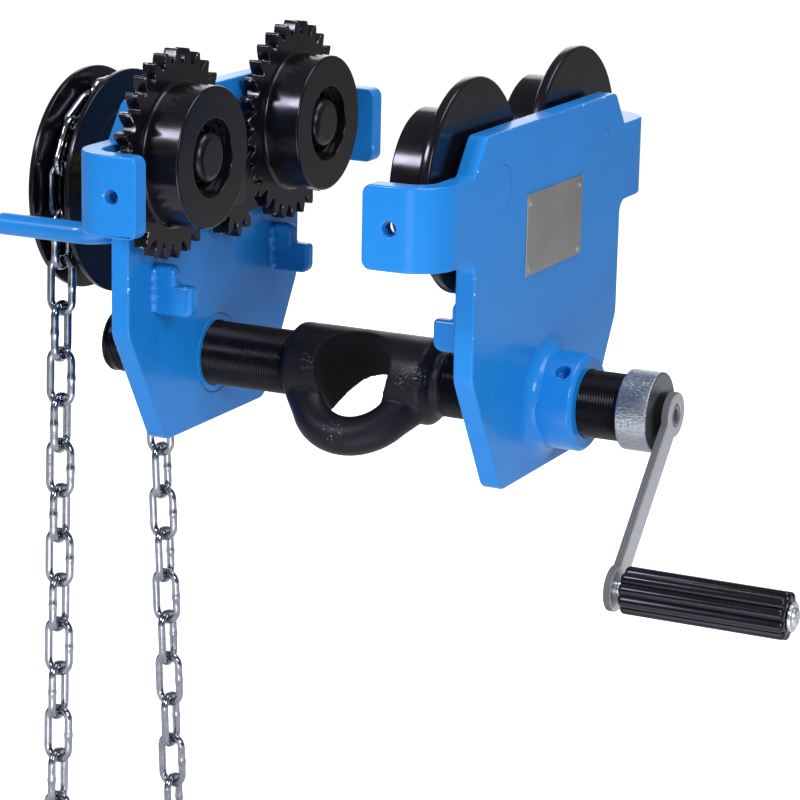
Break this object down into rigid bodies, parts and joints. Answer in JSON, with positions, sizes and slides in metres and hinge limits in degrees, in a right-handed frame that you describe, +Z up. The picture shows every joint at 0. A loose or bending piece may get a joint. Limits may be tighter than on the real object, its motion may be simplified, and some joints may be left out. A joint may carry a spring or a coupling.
{
  "type": "geared beam trolley",
  "caption": "Geared beam trolley: side plates with track wheels on a crank-turned screw spindle with a load eye, driven along the beam by a chain wheel and endless hand chain.",
  "frame": {"origin": "on the surface that the wheels roll on, midway between the side plates and midway along the beam", "axes": "+X along the spindle towards the crank, +Y along the beam away from the crank's rest side, +Z up"},
  "size_m": [0.4529, 0.282, 0.5561],
  "materials": {
    "blue_paint": "glossy blue coat on steel plate",
    "wheel_black": "semi-gloss black coat",
    "forged_black": "matte black forged and threaded steel",
    "zinc_steel": "zinc-plated steel",
    "zinc_chain": "bright zinc-plated wire",
    "grip_plastic": "glossy black moulded plastic",
    "bearing_steel": "ground steel",
    "bush_bronze": "plain bearing bronze",
    "tag_aluminium": "satin aluminium, left bare"
  },
  "bodies": {
    "stop_ring": {"spindle_stop_ring": "forged_black"},
    "spindle": {"load_spindle": "forged_black", "crank_hub": "zinc_steel", "hub_pin": "zinc_steel", "crank_arm": "zinc_steel", "grip_pin": "zinc_steel", "grip_washer": "zinc_steel"},
    "crank_grip": {"crank_grip": "grip_plastic"},
    "left_side": {"left_side_plate": "blue_paint", "left_nut_bush": "blue_paint", "left_bush_weld": "blue_paint", "left_front_lug": "blue_paint", "left_rear_lug": "blue_paint", "front_chain_guide": "blue_paint", "rear_chain_guide": "blue_paint", "left_front_axle_pin": "wheel_black", "left_rear_axle_pin": "wheel_black", "front_geared_wheel_bearing_inner_ring": "bearing_steel", "rear_geared_wheel_bearing_inner_ring": "bearing_steel", "drive_shaft_bush": "bush_bronze", "hand_chain_on_wheel": "zinc_chain", "hand_chain_front_strand": "zinc_chain", "hand_chain_bight": "zinc_chain", "hand_chain_rear_strand": "zinc_chain"},
    "right_side": {"right_side_plate": "blue_paint", "right_nut_bush": "blue_paint", "right_bush_weld": "blue_paint", "right_front_lug": "blue_paint", "right_rear_lug": "blue_paint", "right_front_axle_pin": "wheel_black", "right_rear_axle_pin": "wheel_black", "front_plain_wheel_bearing_inner_ring": "bearing_steel", "rear_plain_wheel_bearing_inner_ring": "bearing_steel", "tag_plate": "tag_aluminium", "tag_rivets": "tag_aluminium"},
    "hand_wheel": {"chain_wheel": "wheel_black", "drive_shaft": "bearing_steel", "drive_pinion": "wheel_black", "wheel_key": "bearing_steel", "shaft_circlip": "bearing_steel"},
    "front_geared_wheel_body": {"front_geared_wheel": "wheel_black", "front_geared_wheel_bearing_outer_ring": "bearing_steel", "front_geared_wheel_bearing_balls": "bearing_steel", "front_geared_wheel_circlip": "bearing_steel"},
    "rear_geared_wheel_body": {"rear_geared_wheel": "wheel_black", "rear_geared_wheel_bearing_outer_ring": "bearing_steel", "rear_geared_wheel_bearing_balls": "bearing_steel", "rear_geared_wheel_circlip": "bearing_steel"},
    "front_plain_wheel_body": {"front_plain_wheel": "wheel_black", "front_plain_wheel_bearing_outer_ring": "bearing_steel", "front_plain_wheel_bearing_balls": "bearing_steel", "front_plain_wheel_circlip": "bearing_steel"},
    "rear_plain_wheel_body": {"rear_plain_wheel": "wheel_black", "rear_plain_wheel_bearing_outer_ring": "bearing_steel", "rear_plain_wheel_bearing_balls": "bearing_steel", "rear_plain_wheel_circlip": "bearing_steel"}
  },
  "joints": [
    {"name": "crank_spin", "type": "hinge", "parent": "stop_ring", "child": "spindle", "pos_m": [0, 0, -0.085], "axis": [1, 0, 0], "range_deg": [-5280, 11520]},
    {"name": "left_plate_shift", "type": "slide", "parent": "stop_ring", "child": "left_side", "axis": [-1, 0, 0], "range_m": [-0.0481, 0.0221]},
    {"name": "right_plate_shift", "type": "slide", "parent": "stop_ring", "child": "right_side", "axis": [1, 0, 0], "range_m": [-0.0481, 0.0221]},
    {"name": "grip_spin", "type": "hinge", "parent": "spindle", "child": "crank_grip", "pos_m": [0.227, -0.07224, -0.15981], "axis": [1, 0, 0], "continuous": true},
    {"name": "hand_wheel_spin", "type": "hinge", "parent": "left_side", "child": "hand_wheel", "pos_m": [-0.165, 0, 0.0067], "axis": [1, 0, 0], "continuous": true},
    {"name": "front_geared_wheel_spin", "type": "hinge", "parent": "left_side", "child": "front_geared_wheel_body", "pos_m": [-0.0745, -0.0665, 0.038], "axis": [1, 0, 0], "continuous": true},
    {"name": "front_plain_wheel_spin", "type": "hinge", "parent": "right_side", "child": "front_plain_wheel_body", "pos_m": [0.0745, -0.0665, 0.038], "axis": [1, 0, 0], "continuous": true},
    {"name": "rear_geared_wheel_spin", "type": "hinge", "parent": "left_side", "child": "rear_geared_wheel_body", "pos_m": [-0.0745, 0.0665, 0.038], "axis": [1, 0, 0], "continuous": true},
    {"name": "rear_plain_wheel_spin", "type": "hinge", "parent": "right_side", "child": "rear_plain_wheel_body", "pos_m": [0.0745, 0.0665, 0.038], "axis": [1, 0, 0], "continuous": true}
  ],
  "couplings": [
    {"joint": "left_plate_shift", "follows": "crank_spin", "m_per_rad": -0.00023873},
    {"joint": "right_plate_shift", "follows": "crank_spin", "m_per_rad": -0.00023873},
    {"joint": "front_geared_wheel_spin", "follows": "hand_wheel_spin", "ratio": -0.4},
    {"joint": "rear_geared_wheel_spin", "follows": "hand_wheel_spin", "ratio": -0.4}
  ]
}
